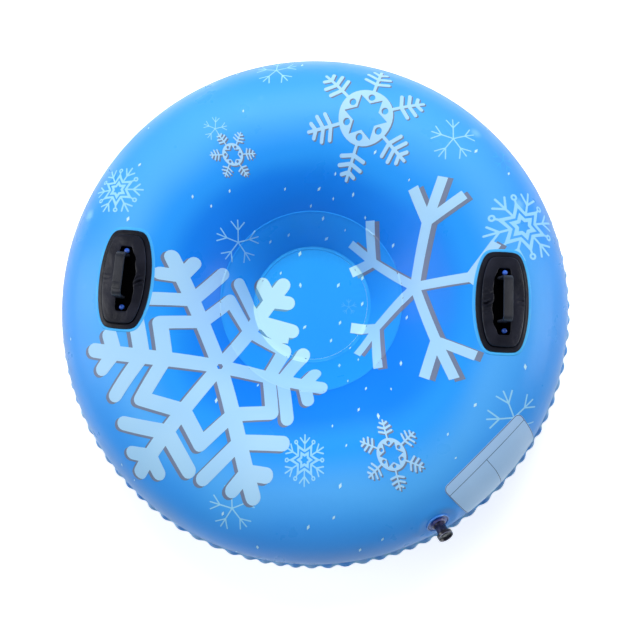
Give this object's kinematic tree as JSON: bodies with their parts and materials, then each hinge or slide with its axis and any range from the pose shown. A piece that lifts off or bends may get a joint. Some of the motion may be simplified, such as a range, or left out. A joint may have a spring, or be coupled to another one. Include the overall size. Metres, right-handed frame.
{
  "type": "snow tube",
  "caption": "Round blow-up tube for sliding on snow, with a closed seat floor, a crinkled outer seam, strap grips and a capped air valve.",
  "frame": {"origin": "on the tube's axis, at the ground that the lower film rests on", "axes": "+Z up along the tube's axis, +X to the right and +Y up in the picture, so that the grips are at about +X and -X"},
  "size_m": [0.9664, 0.9664, 0.3074],
  "materials": {
    "top_film": "glossy printed film",
    "bottom_film": "satin film",
    "seat_film": "glossy printed film",
    "weld_film": "glossy pressed weld",
    "doubler_film": "clear glossy film",
    "seam_film": "glossy pressed weld",
    "panel_film": "satin print",
    "grip_vinyl": "soft satin vinyl",
    "strap_vinyl": "soft satin vinyl",
    "stud_plastic": "glossy",
    "valve_weld": "glossy pressed weld",
    "valve_clear": "clear glossy vinyl",
    "valve_dark": "glossy"
  },
  "bodies": {
    "tube": {"top_shell": "top_film", "bottom_shell": "bottom_film", "seat_floor": "seat_film", "inner_weld_ring": "weld_film", "well_doubler": "doubler_film", "outer_seam": "seam_film", "blank_panel": "panel_film", "left_grip_base": "grip_vinyl", "left_grip_cover": "grip_vinyl", "left_grip_stud_upper": "stud_plastic", "left_grip_stud_lower": "stud_plastic", "right_grip_base": "grip_vinyl", "right_grip_cover": "grip_vinyl", "right_grip_stud_upper": "stud_plastic", "right_grip_stud_lower": "stud_plastic", "valve_flange": "valve_weld", "valve_collar": "valve_clear"},
    "left_strap": {"left_grip_strap": "strap_vinyl"},
    "right_strap": {"right_grip_strap": "strap_vinyl"},
    "stem": {"valve_stem": "valve_dark"},
    "cap": {"valve_cap": "valve_clear", "valve_tether": "valve_clear"},
    "flap": {"valve_flap": "valve_dark"}
  },
  "joints": [
    {"name": "left_strap_swing", "type": "hinge", "parent": "tube", "child": "left_strap", "pos_m": [-0.32141, 0.02868, 0.27939], "axis": [-0.0889, -0.996, 0], "range_deg": [-40, 40], "stiffness_Nm_per_rad": 0.05},
    {"name": "right_strap_swing", "type": "hinge", "parent": "tube", "child": "right_strap", "pos_m": [0.32238, -0.01408, 0.27939], "axis": [0.0436, 0.999, 0], "range_deg": [-40, 40], "stiffness_Nm_per_rad": 0.05},
    {"name": "stem_push", "type": "slide", "parent": "tube", "child": "stem", "axis": [0.3662, -0.6525, 0.6634], "range_m": [-0.013, 0]},
    {"name": "cap_open", "type": "hinge", "parent": "stem", "child": "cap", "pos_m": [0.23705, -0.39676, 0.22753], "axis": [0.1549, 0.7457, 0.648], "range_deg": [0, 150]},
    {"name": "flap_open", "type": "hinge", "parent": "stem", "child": "flap", "pos_m": [0.21945, -0.37654, 0.20846], "axis": [-0.1549, -0.7457, -0.648], "range_deg": [0, 45], "stiffness_Nm_per_rad": 0.002, "springref_deg": -5.73}
  ]
}
